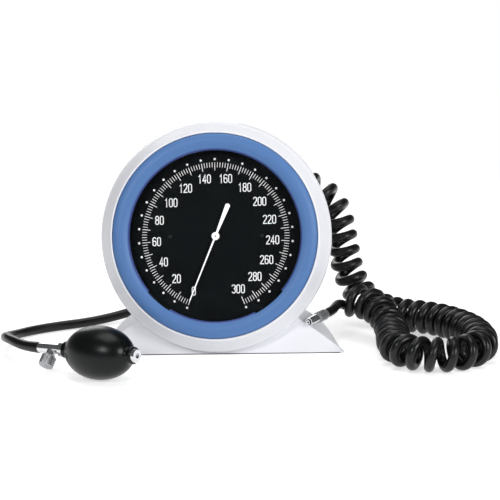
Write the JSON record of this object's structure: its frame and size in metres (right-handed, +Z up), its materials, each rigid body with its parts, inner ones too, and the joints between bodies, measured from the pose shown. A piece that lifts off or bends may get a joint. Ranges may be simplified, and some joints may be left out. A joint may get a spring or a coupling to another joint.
{
  "type": "aneroid sphygmomanometer",
  "caption": "Desk blood-pressure gauge: round dial on a sloped foot, a hand bulb with release valve on a hose, and a curly hose ending in a luer connector.",
  "frame": {"origin": "middle of the underside of the rubber underlay, on the desk", "axes": "+Z up, -Y towards the reader of the dial, +X to the reader's right; the dial leans back 15 degrees"},
  "size_m": [0.4344, 0.208, 0.1977],
  "materials": {
    "case_grey": "satin",
    "stand_white": "satin",
    "bezel_blue": "satin",
    "lens_clear": "clear",
    "dial_black": "matte",
    "pointer_white": "painted",
    "movement_brass": "satin",
    "spring_bronze": "satin",
    "capsule_bronze": "satin",
    "zinc_steel": "satin",
    "chrome": "polished",
    "hose_black": "satin",
    "bulb_black": "satin",
    "pad_rubber": "matte"
  },
  "bodies": {
    "gauge": {"stand_shell": "stand_white", "stand_base": "stand_white", "base_pad": "pad_rubber", "stand_screws": "zinc_steel", "base_screws": "zinc_steel", "case_shell": "case_grey", "rear_cover": "case_grey", "cover_screws": "zinc_steel", "bezel_ring": "bezel_blue", "lens": "lens_clear", "lens_gasket": "pad_rubber", "dial_spacer": "dial_black", "dial_plate": "dial_black", "dial_screws": "dial_black", "dial_posts": "movement_brass", "front_plate": "movement_brass", "back_plate": "movement_brass", "movement_pillars": "movement_brass", "cover_posts": "movement_brass", "hairspring": "spring_bronze", "spring_stud": "movement_brass", "rocker_bracket": "movement_brass", "capsule": "capsule_bronze", "pressure_pipes": "movement_brass", "coil_outlet": "chrome", "bulb_outlet": "chrome", "outlet_nuts": "movement_brass", "bulb_hose": "hose_black", "coil_hose": "hose_black", "valve_body": "chrome", "bulb": "bulb_black", "intake_valve": "chrome", "intake_retainer": "movement_brass", "luer_core": "chrome", "luer_tip": "chrome"},
    "sector": {"sector_gear": "movement_brass", "sector_shaft": "zinc_steel"},
    "pointer_arbor": {"pinion_arbor": "zinc_steel", "pointer": "pointer_white"},
    "rocker": {"rocking_shaft": "zinc_steel"},
    "stud": {"capsule_stud": "movement_brass"},
    "release_screw": {"valve_spindle": "chrome"},
    "release_knob": {"valve_knob": "chrome"},
    "check_ball": {"intake_ball": "zinc_steel"},
    "connector_ring": {"luer_ring": "chrome"}
  },
  "joints": [
    {"name": "sector_rock", "type": "hinge", "parent": "gauge", "child": "sector", "pos_m": [0, -0.03287, 0.07258], "axis": [0, -0.9659, 0.2588], "range_deg": [0, 30], "stiffness_Nm_per_rad": 0.005, "springref_deg": -17.19},
    {"name": "pointer_turn", "type": "hinge", "parent": "gauge", "child": "pointer_arbor", "pos_m": [0, -0.02573, 0.09924], "axis": [0, 0.9659, -0.2588], "range_deg": [0, 315]},
    {"name": "rocker_turn", "type": "hinge", "parent": "gauge", "child": "rocker", "pos_m": [0, -0.00969, 0.06637], "axis": [-1, 0, 0], "range_deg": [0, 26.6]},
    {"name": "stud_lift", "type": "slide", "parent": "gauge", "child": "stud", "axis": [0, -0.9659, 0.2588], "range_m": [0, 0.0023]},
    {"name": "valve_turn", "type": "hinge", "parent": "release_screw", "child": "release_knob", "pos_m": [-0.13754, -0.09079, 0.01884], "axis": [-0.3277, -0.6291, -0.7049], "range_deg": [0, 540]},
    {"name": "valve_slide", "type": "slide", "parent": "gauge", "child": "release_screw", "axis": [-0.3277, -0.6291, -0.7049], "range_m": [0, 0.0012]},
    {"name": "check_ball_lift", "type": "slide", "parent": "gauge", "child": "check_ball", "axis": [-0.8454, 0.5283, -0.0785], "range_m": [0, 0.0015]},
    {"name": "connector_ring_turn", "type": "hinge", "parent": "gauge", "child": "connector_ring", "pos_m": [0.0935, -0.031, 0.0299], "axis": [-0.5861, -0.8071, -0.072], "continuous": true}
  ],
  "couplings": [
    {"joint": "pointer_turn", "follows": "sector_rock", "ratio": 10.5},
    {"joint": "rocker_turn", "follows": "sector_rock", "ratio": 0.88671},
    {"joint": "stud_lift", "follows": "sector_rock", "m_per_rad": 0.0043927},
    {"joint": "valve_turn", "follows": "valve_slide", "rad_per_m": 7854}
  ]
}
